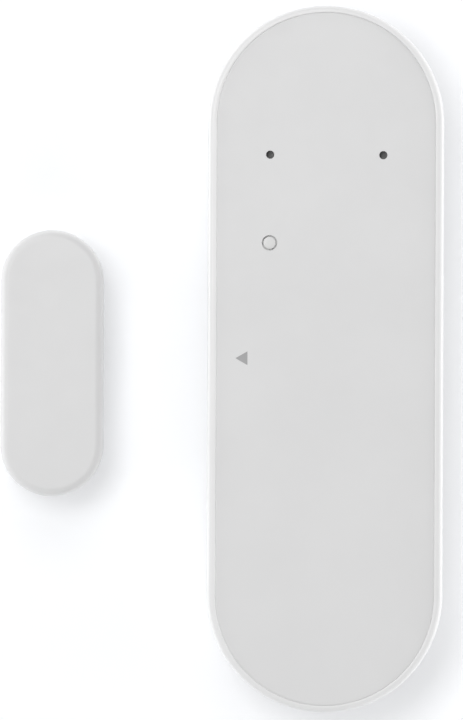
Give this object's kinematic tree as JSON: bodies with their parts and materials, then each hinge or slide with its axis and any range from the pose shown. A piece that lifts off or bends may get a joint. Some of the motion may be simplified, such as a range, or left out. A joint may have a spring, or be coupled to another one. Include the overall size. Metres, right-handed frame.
{
  "type": "door contact sensor",
  "caption": "Pill-shaped wireless door contact sensor with a lift-off front panel, pinholes, status lens and pointer, and a smaller pill-shaped magnet unit beside it.",
  "frame": {"origin": "middle of the sensor unit's adhesive back face", "axes": "+Z out of the front panel, +Y along the length, magnet unit on the -X side"},
  "size_m": [0.0478, 0.0762, 0.0142],
  "materials": {
    "shell_white": "fine moulded texture, satin",
    "panel_white": "very fine moulded texture, satin",
    "mark_grey": "pad printed",
    "gauze_dark": "woven gauze",
    "pipe_diffuse": "milky light pipe",
    "board_resist": "solder resist over glass fibre",
    "module_resist": "solder resist over glass fibre",
    "tin_sheet": "tinned sheet",
    "screw_steel": "zinc plated",
    "led_body": "moulded epoxy",
    "reed_tube": "clear",
    "tinned_wire": "tinned",
    "blade_metal": "nickel iron, plated tips",
    "switch_black": "moulded",
    "button_brown": "moulded",
    "plunger_grey": "moulded acetal",
    "spring_steel": "nickel plated wire",
    "contact_nickel": "nickel plated strip",
    "can_steel": "nickel plated can",
    "sleeve_film": "plain printed film",
    "ferrite": "sintered",
    "tantalum": "moulded",
    "chip_black": "moulded",
    "foam_tape": "closed-cell foam with adhesive",
    "magnet_white": "fine moulded texture, satin",
    "magnet_nickel": "nickel plated",
    "foam_grey": "open-cell foam"
  },
  "bodies": {
    "sensor_unit": {"housing": "shell_white", "main_board": "board_resist", "board_screws": "screw_steel", "radio_module": "module_resist", "radio_shield": "tin_sheet", "status_led": "led_body", "reed_glass": "reed_tube", "reed_leads": "tinned_wire", "pairing_switch": "switch_black", "tamper_switch": "switch_black", "tamper_spring": "spring_steel", "battery_cell": "can_steel", "battery_sleeve": "sleeve_film", "battery_spring": "spring_steel", "contact_plate_negative": "contact_nickel", "contact_plate_positive": "contact_nickel", "boost_inductor": "ferrite", "supply_capacitors": "tantalum", "chip_parts": "chip_black", "adhesive_pad_sensor": "foam_tape"},
    "front_cover": {"front_cover": "panel_white", "pointer_mark": "mark_grey", "light_pipe": "pipe_diffuse", "pinhole_gauze": "gauze_dark"},
    "magnet_unit": {"magnet_cover": "magnet_white", "magnet_base": "magnet_white", "bar_magnet": "magnet_nickel", "magnet_foam": "foam_grey", "adhesive_pad_magnet": "foam_tape"},
    "pairing_button": {"pairing_button": "button_brown"},
    "tamper_plunger": {"tamper_plunger": "plunger_grey"},
    "reed_blade_a": {"reed_blade_a": "blade_metal"},
    "reed_blade_b": {"reed_blade_b": "blade_metal"}
  },
  "joints": [
    {"name": "cover_lift", "type": "slide", "parent": "sensor_unit", "child": "front_cover", "axis": [0, 0, 1], "range_m": [0, 0.02]},
    {"name": "magnet_travel", "type": "slide", "parent": "sensor_unit", "child": "magnet_unit", "axis": [-1, 0, 0], "range_m": [0, 0.06]},
    {"name": "pairing_press", "type": "slide", "parent": "sensor_unit", "child": "pairing_button", "axis": [0, 0, -1], "range_m": [0, 0.00025], "stiffness_N_per_m": 1000},
    {"name": "tamper_rise", "type": "slide", "parent": "sensor_unit", "child": "tamper_plunger", "axis": [0, 0, 1], "range_m": [0, 0.0008], "deforming": ["tamper_spring"]},
    {"name": "reed_a_open", "type": "hinge", "parent": "sensor_unit", "child": "reed_blade_a", "pos_m": [-0.0092, 0.00475, 0.00687], "axis": [1, 0, 0], "range_deg": [-1.05, 0]},
    {"name": "reed_b_open", "type": "hinge", "parent": "sensor_unit", "child": "reed_blade_b", "pos_m": [-0.0092, -0.00475, 0.00664], "axis": [1, 0, 0], "range_deg": [-1.05, 0]}
  ],
  "couplings": [
    {"joint": "tamper_rise", "follows": "cover_lift", "ratio": 0.04},
    {"joint": "reed_a_open", "follows": "magnet_travel", "rad_per_m": -0.29},
    {"joint": "reed_b_open", "follows": "magnet_travel", "rad_per_m": -0.29}
  ]
}
